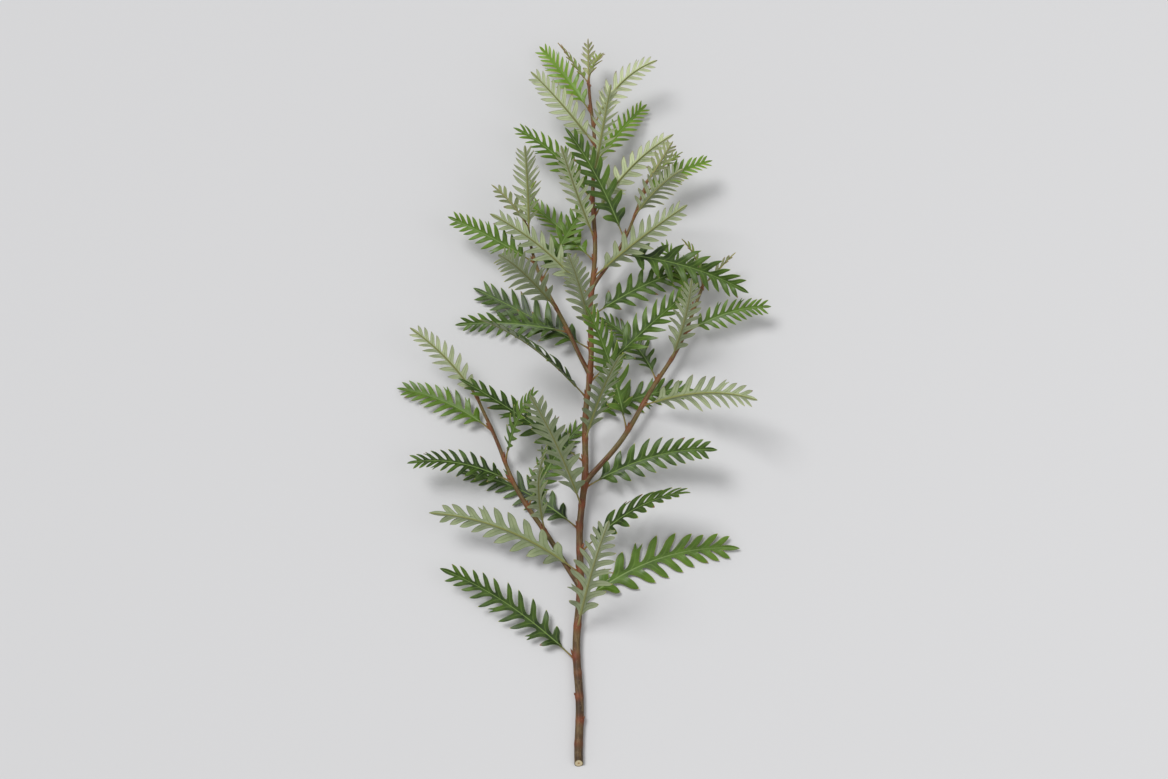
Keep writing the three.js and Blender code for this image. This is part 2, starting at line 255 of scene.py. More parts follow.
leaves = []
for i in range(MAIN_LEAVES):
    share = i / (MAIN_LEAVES - 1)
    size = mix(LEAF_LONGEST, LEAF_SHORTEST, share ** SHORTENING) * drawn(MAIN_SIZES, i, "size")
    place = mix(*MAIN_RANGE, share ** MAIN_CLOSING)
    leaves.append(dict(name=f"main_leaf_{i + 1:02d}", axis=main_axis, t=place, order=i, size=size))
for s, shoot in enumerate(SIDE_SHOOTS):
    for i in range(shoot["leaves"]):
        share = i / (shoot["leaves"] - 1)
        size = drawn(SIDE_SIZES, FIRST_SIDE_DRAW + DRAWS_A_SHOOT * s + i, "size")
        size *= mix(SIDE_LEAF_LONGEST, LEAF_SHORTEST, share)
        place = mix(*(PRUNED_RANGE if s == PRUNED_SHOOT else SIDE_RANGE), share)
        name = f"side_{s + 1}_leaf_{i + 1}"
        leaves.append(dict(name=name, axis=side_axes[s], t=place, order=i + 2 * s + 1, size=size))
for number, leaf in enumerate(leaves):
    leaf["seed"] = number + 1


def leaf_pose(axis, t, length, leaf, order, attempt):
    """How a leaf stands on its axis. Each further attempt is a little off the stand it grew at."""
    off = TRY_SPREAD * math.sqrt(attempt)
    swing = off * math.cos(attempt * GOLDEN_TURN)
    spread = off * math.sin(attempt * GOLDEN_TURN)
    turn = (order * SPIRAL + SPIRAL_START + SPIRAL_DRAW * draw(leaf, "turn")) % 360 - 180
    fanned = abs(turn)
    if fanned > FAN_FROM:
        fanned = mix(FAN_FROM, FAN_TO, (fanned - FAN_FROM) / (180 - FAN_FROM))
    opening = mix(*OPENING, ease(t, OPENING_FROM, 1)) + drawn(OPENING_DRAW, leaf, "opening") + spread
    green_up = fanned > GREEN_FANNED or draw(leaf, "face") < GREEN_SHARE
    return dict(
        axis=axis,
        t=t,
        length=length,
        seat=axis.radius(t) + JOINT_GAP + STALK_FOOT,
        ahead=TRY_SHIFT * TRY_SHIFTS[attempt % len(TRY_SHIFTS)],
        azimuth=math.radians(math.copysign(fanned, turn) + swing),
        opening=math.radians(opening),
        bend=math.radians(drawn(BEND, leaf, "bend")),
        sway=math.radians(drawn(SWAY, leaf, "sway")),
        twist=math.radians(drawn(TWIST, leaf, "twist")),
        fold=math.radians(drawn(FOLD, leaf, "fold")),
        lie_flat=FLATTEST * ease(fanned, *FLAT_FANNED),
        green_up=1 if green_up else -1,
        floor=FLOOR_GAP + FLOOR_STEP * (attempt % FLOOR_STEPS),
    )


class LeafSurface:
    """The curved middle surface of a leaf: place(u, v) gives the point u along and v across it."""

    def __init__(self, pose):
        self.pose = pose
        axis, t = pose["axis"], pose["t"]
        self.way = axis.along(t)
        self.outward = axis.outward(t, pose["azimuth"])
        self.aside = self.way.cross(self.outward)
        start = axis.at(t) + self.outward * pose["seat"] + self.way * pose["ahead"]
        self.line = [start]
        for i in range(LEAF_STEPS):
            along = self.frame_at((i + 0.5) / LEAF_STEPS)[0]
            self.line.append(self.line[i] + along * (pose["length"] / LEAF_STEPS))

    def frame_at(self, s):
        """The directions along the leaf, out of its face and across it, at a share s of its length."""
        pose = self.pose
        angle = pose["opening"] + pose["bend"] * s ** BEND_GATHERS
        along = self.way * math.cos(angle) + self.outward * math.sin(angle)
        along = (along + self.aside * (math.tan(pose["sway"]) * s)).normalized()
        face = self.way * math.sin(angle) - self.outward * math.cos(angle)
        settle = pose["lie_flat"] * ease(s, 0, FLAT_BY)
        normal = face * (1 - settle) + UP * (settle * pose["green_up"])
        normal = (normal - along * normal.dot(along)).normalized()
        normal = Matrix.Rotation(pose["twist"] * s, 3, along) @ normal
        return along, normal, along.cross(normal)

    def place(self, u, v, lift=0.0):
        pose = self.pose
        s = min(max(u / pose["length"], 0.0), 1.0)
        along, normal, side = self.frame_at(s)
        point = point_on(self.line, s)
        if u < 0:
            point = point + along * u
        rise = abs(v) * math.sin(pose["fold"]) - DISHING * v * v + lift
        point = point + side * (v * math.cos(pose["fold"])) + normal * rise
        over = point.z - pose["floor"]
        soft = FLOOR_EASE * FLOOR_EASE * ease(s, *FLOOR_EASED)
        point.z = pose["floor"] + 0.5 * (over + math.sqrt(over * over + soft))
        return point


def lobe_outline(u, root, width, length, lean):
    """The coarse outline of a lobe: its near root, the bulge of its back and its tip."""
    def step(angle, distance):
        angle = math.radians(angle)
        return Vector((distance * math.cos(angle), distance * math.sin(angle)))

    foot = Vector((u + LOBE_FOOT * width, root))
    half_way = foot + step(lean + LOBE_CURVE, LOBE_HALF * length)
    back = half_way + step(lean + 90, LOBE_BULGE * width)
    tip = half_way + step(lean - LOBE_CURVE, (1 - LOBE_HALF) * length)
    return dict(root=Vector((u, root)), foot=foot, back=back, tip=tip)


def leaf_plan(length, leaf):
    """The flat outline of a leaf: its stalk, its rows of two lobes each, and where the last row ends."""
    stalk = STALK_LEAST + STALK_SHARE * length
    pairs = mix(*LOBE_PAIRS, ease(length, *PAIR_LENGTHS)) + drawn((-0.5, 0.5), leaf, "pairs")
    pairs = math.floor(pairs + 0.5)

    def shrink(k):
        return 1 - ROW_SHRINK * k / pairs

    pitch = (length - stalk) / (sum(shrink(k) for k in range(pairs + 1)) + END_ROW)
    longest = (LOBE_LEAST + LOBE_SHARE * length) * drawn(LOBE_SIZES, leaf, "reach")
    rows = []
    u = stalk
    for k in range(pairs + 1):
        x = min(1, k / (pairs - 1))
        half = length * mix(*WING_SHARE, x) * min(1, 0.6 + 4 * x)
        reach = longest * min(1, FIRST_LOBES + 1.4 * x) * (1 - LAST_SHRINK * x ** 2.2)
        lobes = []
        for side in (0, 1):
            which = 2 * k + side
            lean = mix(*LOBE_LEAN, x) + drawn(LEAN_DRAW, leaf, "lobe_lean", which)
            long = reach * drawn(LOBE_LENGTHS, leaf, "lobe_length", which)
            lobe = lobe_outline(u, half, pitch * shrink(k), long, lean)
            lobe["lift"] = drawn(TIP_LIFT, leaf, "lobe_lift", which) * lobe["tip"].y
            lobes.append(lobe)
        rows.append(dict(u=u, half=half, span=pitch * shrink(k), lobes=lobes))
        u += pitch * shrink(k)
    return dict(length=length, stalk=stalk, rows=rows[:-1], end=rows[-1])


def settled_pose(leaf):
    """The lie that a leaf came to: the first whose coarse outline fits the box of its solid."""
    low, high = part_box(leaf["name"])
    plan = leaf_plan(leaf["size"], leaf["seed"])
    for attempt in range(MOST_TRIES):
        pose = leaf_pose(leaf["axis"], leaf["t"], leaf["size"], leaf["seed"], leaf["order"], attempt)
        place = LeafSurface(pose).place
        points = [place(0, FOOT_HALF), place(0, -FOOT_HALF), place(plan["length"], 0)]
        for row in plan["rows"]:
            for sign, lobe in zip((1, -1), row["lobes"]):
                points.append(place(lobe["back"].x, sign * lobe["back"].y, BACK_LIFT * lobe["lift"]))
                points.append(place(lobe["tip"].x, sign * lobe["tip"].y, lobe["lift"]))
        room = []
        for axis in range(3):
            values = [point[axis] * MM for point in points]
            room += [min(values) - low[axis], high[axis] - max(values)]
        if all(BOX_ROOM[0] * MM < gap < BOX_ROOM[1] * MM for gap in room):
            return pose
    raise ValueError(f"no lie fits the box of {leaf['name']}")


for leaf in leaves:
    leaf["pose"] = settled_pose(leaf)

# The wood itself. Each shoot swells into a collar where it leaves the stem, and the bark swells
# under each leaf. Its foot is a fresh slanting cut and the pruned shoot ends in an old dry one; the
# bark is thin and smooth, brown below and olive above, with a red flush at every leaf.
STEM_SIDES = 28
SHOOT_SIDES = 20
RING_SPACING = 2.2
FLUTING = 0.03
FLUTE_TURN = 0.04
COLLAR = 0.35
COLLAR_LENGTH = 6
CUT_SLANT = 0.7
CUT_RUN = 20
CUT_RINGS = (0.84, 0.55, 0.24)
LEAF_SWELLING = dict(rise=0.75, reach=3.0)
FORK_SWELLING = dict(rise=1.0, reach=8)
MARK_SWELLING = dict(rise=0.6, reach=2.2)
SWELLING_BACK = 0.25
SWELLING_ENDS = 6
FLUSH_BACK = 0.35
FLUSH_SPREAD = 1.7
FORK_AHEAD = 3
OLD_MARKS = 4
MARK_RANGE = (18, 84)
MARK_TURN = 20
SHOOT_AGEING = 0.45
SHARP_ANGLE = 50
BARK, FRESH_CUT, DRY_CUT = range(3)
MASKS = ("off_vein", "off_rib", "along", "margin", "stalk", "tone", "age", "core", "rust", "flush", "dry")


def add_object(name, data):
    """Puts a mesh, a light or the camera into the scene."""
    made = bpy.data.objects.new(name, data)
    bpy.context.scene.collection.objects.link(made)
    return made


class Shape:
    """A mesh in the making: points in millimetres, faces with the number of their finish, and masks."""

    def __init__(self):
        self.points = []
        self.faces = []
        self.finishes = []
        self.grain = []
        self.masks = {name: [] for name in MASKS}

    def add_points(self, points, grain=None, **masks):
        """Adds points, and the places that their grain is read at, and gives the first one's number."""
        first = len(self.points)
        self.points.extend(points)
        self.grain.extend(points if grain is None else grain)
        for name in MASKS:
            values = masks.get(name, 0.0)
            self.masks[name].extend(values if hasattr(values, "__len__") else [values] * len(points))
        return first

    def add_faces(self, faces, finish):
        self.faces.extend(faces)
        self.finishes.extend([finish] * len(faces))

    def add_ribbon(self, low, high, sides, finish):
        """Joins two rings of points, given by their first numbers."""
        for k in range(sides):
            after = (k + 1) % sides
            self.add_faces([(low + k, low + after, high + after, high + k)], finish)

    def piece(self, name, materials):
        mesh = bpy.data.meshes.new(name)
        mesh.from_pydata([tuple(c * MM for c in point) for point in self.points], [], self.faces)
        mesh.polygons.foreach_set("material_index", self.finishes)
        for mask in MASKS:
            if any(self.masks[mask]):
                attribute = mesh.attributes.new(mask, "FLOAT", "POINT")
                attribute.data.foreach_set("value", self.masks[mask])
        grain = mesh.attributes.new("grain", "FLOAT_VECTOR", "POINT")
        grain.data.foreach_set("vector", [c for place in self.grain for c in place])
        for material in materials:
            mesh.materials.append(material)
        mesh.update()
        mesh.shade_smooth()
        mesh.set_sharp_from_angle(angle=math.radians(SHARP_ANGLE))
        return add_object(name, mesh)


def add_tube(shape, axis, sides, swellings, collar=0.0, slant=0.0, ages=(0.0, 1.0), end=FRESH_CUT):
    """A round stem along an axis, with a cut face at each end."""
    count = round(axis.length / RING_SPACING) + 1
    rings = []
    for i in range(count):
        t = i / (count - 1)
        far = t * axis.length
        centre = axis.at(t)
        right, up = axis.across(t)
        way = axis.along(t)
        points, grain, flushes = [], [], []
        for k in range(sides):
            turn = (k + 0.5) / sides * 2 * math.pi
            radius = axis.radius(t) * (1 + FLUTING * math.cos(3 * turn + FLUTE_TURN * far))
            radius += collar * axis.radius(t) * math.exp(-((far / COLLAR_LENGTH) ** 2))
            flush = 0.0
            for swelling in swellings:
                away = abs(far - swelling["place"]) / swelling["reach"]
                if away < SWELLING_ENDS:
                    facing = 0.5 + 0.5 * math.cos(turn - swelling["turn"])
                    radius += swelling["rise"] * mix(SWELLING_BACK, 1, facing ** 2) * math.exp(-(away ** 2))
                    redness = mix(FLUSH_BACK, 1, facing) * math.exp(-((away / FLUSH_SPREAD) ** 2))
                    flush = max(flush, redness)
            x = math.sin(turn) * radius
            z = math.cos(turn) * radius
            shear = slant * z * max(0, 1 - far / CUT_RUN)
            point = centre + right * x + up * z + way * shear
            point.z = max(point.z, 0)
            points.append(point)
            flushes.append(flush)
            grain.append((math.sin(turn) * axis.radius(t), math.cos(turn) * axis.radius(t), far))
        ends = 1.0 if i in (0, count - 1) else 0.0
        rings.append(shape.add_points(points, grain, age=mix(*ages, t), flush=flushes, core=ends))
    for low, high in zip(rings[:-1], rings[1:]):
        shape.add_ribbon(low, high, sides, BARK)
    add_cut_face(shape, rings[0], sides, FRESH_CUT, flipped=True)
    add_cut_face(shape, rings[-1], sides, end, flipped=False)


def add_cut_face(shape, rim, sides, finish, flipped):
    """The flat end of a stem, from the rim of its bark in to its pith."""
    def drawn_in(values, share):
        middle = sum((Vector(value) for value in values), Vector()) / sides
        return [middle.lerp(Vector(value), share) for value in values]

    edge = shape.points[rim:rim + sides]
    grain = shape.grain[rim:rim + sides]
    rings = [rim]
    for share in CUT_RINGS:
        rings.append(shape.add_points(drawn_in(edge, share), drawn_in(grain, share), core=share))
    middle = shape.add_points(drawn_in(edge, 0)[:1], drawn_in(grain, 0)[:1])
    faces = []
    for inner, outer in zip(rings[1:], rings[:-1]):
        for k in range(sides):
            after = (k + 1) % sides
            faces.append((outer + k, outer + after, inner + after, inner + k))
    faces += [(rings[-1] + k, rings[-1] + (k + 1) % sides, middle) for k in range(sides)]
    shape.add_faces([face[::-1] for face in faces] if flipped else faces, finish)


def add_node(tree, kind, inputs=None, **settings):
    """A shader node with its settings, and its inputs given as values or as sockets to link."""
    node = tree.nodes.new(kind)
    for name, value in settings.items():
        setattr(node, name, value)
    for name, value in (inputs or {}).items():
        if isinstance(value, bpy.types.NodeSocket):
            tree.links.new(value, node.inputs[name])
        else:
            node.inputs[name].default_value = value
    return node


def mask_of(tree, name):
    """The socket that gives one of the masks of the mesh."""
    return add_node(tree, "ShaderNodeAttribute", attribute_name=name).outputs["Fac"]


def grain_of(tree, scale=(1.0, 1.0, 1.0)):
    """The socket that gives the place on the plant, in millimetres, stretched by a scale."""
    grain = add_node(tree, "ShaderNodeAttribute", attribute_name="grain").outputs["Vector"]
    return add_node(tree, "ShaderNodeMapping", {"Vector": grain, "Scale": scale}).outputs["Vector"]


def noise(tree, place, size, detail):
    inputs = {"Vector": place, "Scale": size, "Detail": detail}
    return add_node(tree, "ShaderNodeTexNoise", inputs).outputs["Fac"]


def cells(tree, place, size, feature="F1"):
    """The distance to the middle of the nearest cell, or to the edges between the cells."""
    inputs = {"Vector": place, "Scale": size}
    return add_node(tree, "ShaderNodeTexVoronoi", inputs, feature=feature).outputs["Distance"]


def mixed(tree, share, low, high):
    """A colour mixed from two, each given as a colour or a socket."""
    inputs = {0: share, 6: low, 7: high}
    return add_node(tree, "ShaderNodeMix", inputs, data_type="RGBA").outputs[2]


def plus(tree, first, second):
    return add_node(tree, "ShaderNodeMath", {0: first, 1: second}, operation="ADD").outputs[0]


def times(tree, first, second):
    return add_node(tree, "ShaderNodeMath", {0: first, 1: second}, operation="MULTIPLY").outputs[0]


def stretched(tree, value, from_low, from_high, to_low=0.0, to_high=1.0):
    """A value taken from one range to another, and held inside it."""
    ends = {"From Min": from_low, "From Max": from_high, "To Min": to_low, "To Max": to_high}
    return add_node(tree, "ShaderNodeMapRange", {"Value": value, **ends}).outputs["Result"]


def colour(red, green, blue):
    """A colour given as it looks on a screen, 0 to 255, for a shader socket."""
    def linear(value):
        value /= 255
        return value / 12.92 if value <= 0.04045 else ((value + 0.055) / 1.055) ** 2.4

    return (linear(red), linear(green), linear(blue), 1.0)


def group_of(name, inputs, outputs):
    """A shader node group with its named sockets: its tree, what it is given and what it puts out."""
    tree = bpy.data.node_groups.new(name, "ShaderNodeTree")
    for socket, kind in inputs.items():
        tree.interface.new_socket(name=socket, in_out="INPUT", socket_type=kind)
    for socket, kind in outputs.items():
        tree.interface.new_socket(name=socket, in_out="OUTPUT", socket_type=kind)
    return tree, tree.nodes.new("NodeGroupInput").outputs, tree.nodes.new("NodeGroupOutput").inputs


# Mottling, the soft uneven patches and specks that bark, leaf and felt all have.
COLOUR = "NodeSocketColor"
NUMBER = "NodeSocketFloat"
PLACE = "NodeSocketVector"
SPECKS_FINER = 5.0
MOTTLED = (0.35, 0.65)
mottling, given, out = group_of(
    "mottling",
    {"Place": PLACE, "Size": NUMBER},
    {"Patches": NUMBER, "Specks": NUMBER},
)
finer = times(mottling, given["Size"], SPECKS_FINER)
for size, detail, socket in ((given["Size"], 3.0, "Patches"), (finer, 4.0, "Specks")):
    cloud = noise(mottling, given["Place"], size, detail)
    mottling.links.new(stretched(mottling, cloud, *MOTTLED), out[socket])


def new_material(name):
    material = bpy.data.materials.new(name)
    material.use_nodes = True
    tree = material.node_tree
    tree.nodes.clear()
    surface = tree.nodes.new("ShaderNodeBsdfPrincipled")
    output = tree.nodes.new("ShaderNodeOutputMaterial")
    tree.links.new(surface.outputs["BSDF"], output.inputs["Surface"])
    return material, tree, surface


def add_mottling(tree, place, size):
    node = add_node(tree, "ShaderNodeGroup", node_tree=mottling)
    tree.links.new(place, node.inputs["Place"])
    node.inputs["Size"].default_value = size
    return node.outputs["Patches"], node.outputs["Specks"]


def finish_skin(tree, surface, skin, patches, roughness, height, strength, depth):
    """Gives a surface its colour, a roughness that wanders with its patches, and its fine relief."""
    tree.links.new(skin, surface.inputs["Base Color"])
    tree.links.new(stretched(tree, patches, 0, 1, *roughness), surface.inputs["Roughness"])
    set_bump(tree, surface, height, strength, depth)


def set_bump(tree, surface, height, strength, depth):
    bump = add_node(tree, "ShaderNodeBump", {"Height": height, "Strength": strength, "Distance": depth})
    tree.links.new(bump.outputs["Normal"], surface.inputs["Normal"])


OLD_BARK = (colour(52, 36, 19), colour(98, 74, 42))
YOUNG_BARK = (colour(104, 92, 46), colour(98, 54, 32))
BARK_BLOOM = colour(138, 118, 82)
BARK_FURROW = colour(46, 28, 14)
BARK_FLUSH = colour(126, 56, 28)
BARK_PORE = colour(166, 142, 108)
BUD_SCALES = (colour(88, 46, 28), colour(134, 80, 50))
bark, tree, surface = new_material("bark")
patches, specks = add_mottling(tree, grain_of(tree, (1, 1, 0.3)), 0.09)
lengthwise = grain_of(tree, (1, 1, 0.06))
streaks = noise(tree, lengthwise, 0.35, 3.0)
wrinkles = noise(tree, lengthwise, 1.6, 5.0)
pore = stretched(tree, cells(tree, grain_of(tree, (1, 1, 0.45)), 0.42), 0.16, 0.08)
older = mixed(tree, patches, *OLD_BARK)
younger = mixed(tree, stretched(tree, streaks, 0.44, 0.6), *YOUNG_BARK)
skin = mixed(tree, stretched(tree, mask_of(tree, "age"), 0.05, 0.6), older, younger)
skin = mixed(tree, stretched(tree, specks, 0.45, 0.8, 0, 0.3), skin, BARK_BLOOM)
skin = mixed(tree, stretched(tree, wrinkles, 0.5, 0.68, 0, 0.6), skin, BARK_FURROW)
skin = mixed(tree, times(tree, mask_of(tree, "flush"), 0.7), skin, BARK_FLUSH)
skin = mixed(tree, times(tree, pore, 0.45), skin, BARK_PORE)
skin = mixed(tree, mask_of(tree, "rust"), skin, mixed(tree, specks, *BUD_SCALES))
surface.inputs["Specular IOR Level"].default_value = 0.35
height = plus(tree, wrinkles, times(tree, pore, 0.5))
finish_skin(tree, surface, skin, patches, (0.48, 0.66), height, strength=0.6, depth=0.0005)


def cut_material(name, pith, pale, warm, rim):
    """The end grain of a cut: pith in the middle, wood round it and the rim of the bark."""
    material, tree, surface = new_material(name)
    core = mask_of(tree, "core")
    fibres = noise(tree, grain_of(tree), 1.4, 4.0)
    face = mixed(tree, fibres, pale, warm)
    face = mixed(tree, stretched(tree, core, 0.2, 0.3), pith, face)
    face = mixed(tree, stretched(tree, core, 0.8, 0.88), face, rim)
    tree.links.new(face, surface.inputs["Base Color"])
    surface.inputs["Roughness"].default_value = 0.8
    set_bump(tree, surface, fibres, strength=0.4, depth=0.0003)
    return material


fresh_cut = cut_material(
    "fresh_cut",
    pith=colour(178, 142, 96), pale=colour(206, 188, 146),
    warm=colour(226, 212, 176), rim=colour(104, 88, 48),
)
dry_cut = cut_material(
    "dry_cut",
    pith=colour(84, 60, 42), pale=colour(136, 104, 74),
    warm=colour(112, 82, 58), rim=colour(70, 46, 34),
)


def leaf_swellings(axis):
    """The bark rises a little under the foot of each leaf on an axis."""
    found = []
    for leaf in leaves:
        if leaf["axis"] is axis:
            place = leaf["t"] * axis.length + leaf["pose"]["ahead"]
            found.append(dict(place=place, turn=leaf["pose"]["azimuth"], **LEAF_SWELLING))
    return found


fork_swellings = []
for shoot in SIDE_SHOOTS:
    turn = math.copysign(math.pi / 2, shoot["fork"])
    fork_swellings.append(dict(place=shoot["start"] * STEM_LENGTH + FORK_AHEAD, turn=turn, **FORK_SWELLING))
old_marks = []
for i in range(OLD_MARKS):
    turn = math.radians(-(i + 1) * SPIRAL - MARK_TURN)
    old_marks.append(dict(place=mix(*MARK_RANGE, i / (OLD_MARKS - 1)), turn=turn, **MARK_SWELLING))
wood = Shape()
swellings = leaf_swellings(main_axis) + fork_swellings + old_marks
add_tube(wood, main_axis, STEM_SIDES, swellings, slant=CUT_SLANT)
for s, (shoot, axis) in enumerate(zip(SIDE_SHOOTS, side_axes)):
    ages = (shoot["start"], min(1, shoot["start"] + SHOOT_AGEING))
    end = DRY_CUT if s == PRUNED_SHOOT else FRESH_CUT
    add_tube(wood, axis, SHOOT_SIDES, leaf_swellings(axis), collar=COLLAR, ages=ages, end=end)
wood_piece = wood.piece("fine_woody_stem", [bark, fresh_cut, dry_cut])
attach(wood_piece, "root")
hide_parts("woody_stem")

# Buds. One small pointed bud in rusty scales sits in the angle above each leaf, and above the marks
# of fallen leaves on the bare foot of the stem. Short silky hairs lie along the scales and cover
# the youngest wood.
BUD_PROFILE = ((-0.15, 0.7), (0.08, 1.0), (0.3, 0.98), (0.5, 0.8), (0.7, 0.55), (0.88, 0.26), (0.97, 0.08))
BUD_SIDES = 12
BUD_LENGTHS = (3.8, 7.6)
BUD_RADII = (0.95, 1.3)
BUD_AHEAD = 2.4
BUD_LEAN = (0.93, 0.36)
BUD_SUNK = 0.92
BUD_HAIRS = 26
BUD_HAIR_RANGE = (0.05, 0.92)
BUD_HAIR_LENGTHS = (0.6, 1.2)
MARK_BUD_LENGTH = 2.6
MARK_BUD_RADIUS = 1.0
MARK_BUD_AHEAD = 1.6
MARK_BUD_LEAN = 0.6
MARK_BUD_HEIGHT = 2
MARK_BUD_HAIRS = 8
HAIR_RADIUS = 0.045
DOWN_RANGE = (0.8, 0.995)
DOWN_SPACING = 0.3
DOWN_CROWDING = 0.7
DOWN_LEAN = 0.8
DOWN_LENGTHS = (0.5, 1.0)
SILK = (colour(186, 160, 116), colour(216, 208, 176))
BUD_FINISH, DOWN_FINISH = range(2)

down, tree, surface = new_material("down")
patches, specks = add_mottling(tree, grain_of(tree), 0.3)
tree.links.new(mixed(tree, specks, *SILK), surface.inputs["Base Color"])
tree.links.new(stretched(tree, patches, 0, 1, 0.45, 0.6), surface.inputs["Roughness"])
surface.inputs["Sheen Weight"].default_value = 0.4


def add_hair(shape, foot, way, length, finish):
    """A silky hair: a thin closed spike on three sides."""
    first_side = way.orthogonal().normalized() * HAIR_RADIUS
    ring = [foot + Matrix.Rotation(math.radians(120 * k), 3, way) @ first_side for k in range(3)]
    first = shape.add_points(ring + [foot + way * length])
    faces = [(2, 1, 0), (0, 1, 3), (1, 2, 3), (2, 0, 3)]
    shape.add_faces([tuple(first + corner for corner in face) for face in faces], finish)


def add_bud(shape, foot, way, length, radius, age, hairs, finish=BUD_FINISH):
    """A pointed bud in three rows of scales, with the finish of its scales and of its hairs after it."""
    side = way.orthogonal().normalized()
    other = way.cross(side)

    def outward(angle):
        return side * math.cos(angle) + other * math.sin(angle)

    rings = []
    for along, wide in BUD_PROFILE:
        points = []
        for k in range(BUD_SIDES):
            angle = k / BUD_SIDES * 2 * math.pi
            reach = radius * wide * (1 + 0.1 * math.cos(3 * angle + 5 * along))
            points.append(foot + way * (along * length) + outward(angle) * reach)
        rings.append(shape.add_points(points, rust=1.0, age=age))
    for low, high in zip(rings[:-1], rings[1:]):
        shape.add_ribbon(low, high, BUD_SIDES, finish)
    point = shape.add_points([foot + way * length], [foot], rust=1.0, age=age)
    shape.add_faces([tuple(rings[0] + k for k in range(BUD_SIDES))[::-1]], finish)
    for k in range(BUD_SIDES):
        shape.add_faces([(rings[-1] + k, rings[-1] + (k + 1) % BUD_SIDES, point)], finish)
    for i in range(hairs):
        along = mix(*BUD_HAIR_RANGE, (i + 0.5) / hairs)
        aside = outward(i * GOLDEN_TURN)
        start = foot + way * (along * length) + aside * (radius * 0.9 * (1 - 0.85 * along ** 1.6))
        long = drawn(BUD_HAIR_LENGTHS, i, "bud_hair")
        add_hair(shape, start, (way + aside * 0.4).normalized(), long, finish + 1)


buds = Shape()
for leaf in leaves:
    blade = LeafSurface(leaf["pose"])
    way = (blade.way * BUD_LEAN[0] + blade.outward * BUD_LEAN[1]).normalized()
    foot = leaf["axis"].at(leaf["t"]) + blade.way * (leaf["pose"]["ahead"] + BUD_AHEAD)
    foot = foot + blade.outward * (leaf["axis"].radius(leaf["t"]) * BUD_SUNK)
    size = draw(leaf["seed"], "bud") ** 1.5
    add_bud(buds, foot, way, mix(*BUD_LENGTHS, size), mix(*BUD_RADII, size), leaf["t"], BUD_HAIRS)
for mark in old_marks:
    t = mark["place"] / STEM_LENGTH
    outward = main_axis.outward(t, mark["turn"])
    way = (outward * MARK_BUD_LEAN + main_axis.along(t)).normalized()
    foot = main_axis.at(t) + outward * main_axis.radius(t) + main_axis.along(t) * MARK_BUD_AHEAD
    if foot.z > MARK_BUD_HEIGHT:
        add_bud(buds, foot, way, MARK_BUD_LENGTH, MARK_BUD_RADIUS, t, MARK_BUD_HAIRS)
growing = [main_axis] + [axis for s, axis in enumerate(side_axes) if s != PRUNED_SHOOT]
for axis in growing:
    count = round(axis.length * (1 - DOWN_RANGE[0]) / DOWN_SPACING)
    for i in range(count):
        t = mix(*DOWN_RANGE, ((i + 0.5) / count) ** DOWN_CROWDING)
        outward = axis.outward(t, i * GOLDEN_TURN)
        start = axis.at(t) + outward * (axis.radius(t) * 0.96)
        way = (axis.along(t) + outward * DOWN_LEAN).normalized()
        add_hair(buds, start, way, drawn(DOWN_LENGTHS, i, "down_hair"), DOWN_FINISH)
buds_piece = buds.piece("buds_and_down", [bark, down])
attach(buds_piece, "root")

# The leaf skins. The upper side is leathery and softly shiny, deep green with a paler rib, and its rim
# is painted lighter than the blade, green to yellow on the lighter leaves, as a painted highlight along
# the rolled edges. The lower side is covered in silvery felt, with an olive rib that stands up, a fine
# darker vein in each lobe, partly the vein's own olive colour and partly painted shade of the raised
# vein, and a green line where the edge rolls under.
RUSTY_FOOT = colour(120, 68, 42)
DRY_TIP = colour(122, 80, 46)
leaf_skin, given, out = group_of(
    "leaf_skin",
    {
        "Deep": COLOUR, "Light": COLOUR, "Rib": COLOUR, "Vein": COLOUR, "Edge": COLOUR, "Tip": COLOUR,
        "Stalk": COLOUR, "Rib Width": NUMBER, "Vein Share": NUMBER,
    },
    {"Colour": COLOUR, "Patches": NUMBER, "Relief": NUMBER},
)
tree = leaf_skin
patches, specks = add_mottling(tree, grain_of(tree), 0.09)
along = mask_of(tree, "along")
blend = plus(tree, mask_of(tree, "tone"), times(tree, patches, 0.22))
blend = plus(tree, blend, times(tree, along, 0.16))
skin = mixed(tree, blend, given["Deep"], given["Light"])
# The rim colour, mixed from Edge to Tip. On the older leaves' upper side it is a painted highlight along the
# rolled edge; on the lower side it is the green of the edge that rolls under.
rim = mixed(tree, times(tree, blend, blend), given["Edge"], given["Tip"])
skin = mixed(tree, stretched(tree, mask_of(tree, "margin"), 0.35, 0.75, 0.0, 0.8), skin, rim)
# The fine line along each lobe's vein. It is paler on the upper side. On the lower side it is darker, partly
# the vein's own olive colour and partly painted shade of the raised vein.
vein = stretched(tree, mask_of(tree, "off_vein"), 0.17, 0.05)
vein = times(tree, vein, stretched(tree, along, 0.3, 1.0, 1.0, 0.15))
skin = mixed(tree, times(tree, vein, given["Vein Share"]), skin, given["Vein"])
half_width = times(tree, given["Rib Width"], 0.5)
rib = stretched(tree, mask_of(tree, "off_rib"), given["Rib Width"], half_width)
skin = mixed(tree, rib, skin, given["Rib"])
skin = mixed(tree, stretched(tree, along, 0.92, 0.99), skin, given["Tip"])
skin = mixed(tree, mask_of(tree, "stalk"), skin, given["Stalk"])
skin = mixed(tree, times(tree, mask_of(tree, "rust"), 0.85), skin, RUSTY_FOOT)
skin = mixed(tree, mask_of(tree, "dry"), skin, DRY_TIP)
net = stretched(tree, cells(tree, grain_of(tree), 0.9, "DISTANCE_TO_EDGE"), 0.0, 0.12, 0.0, 0.5)
relief = plus(tree, net, times(tree, specks, 0.35))
for socket, value in (("Colour", skin), ("Patches", patches), ("Relief", relief)):
    tree.links.new(value, out[socket])


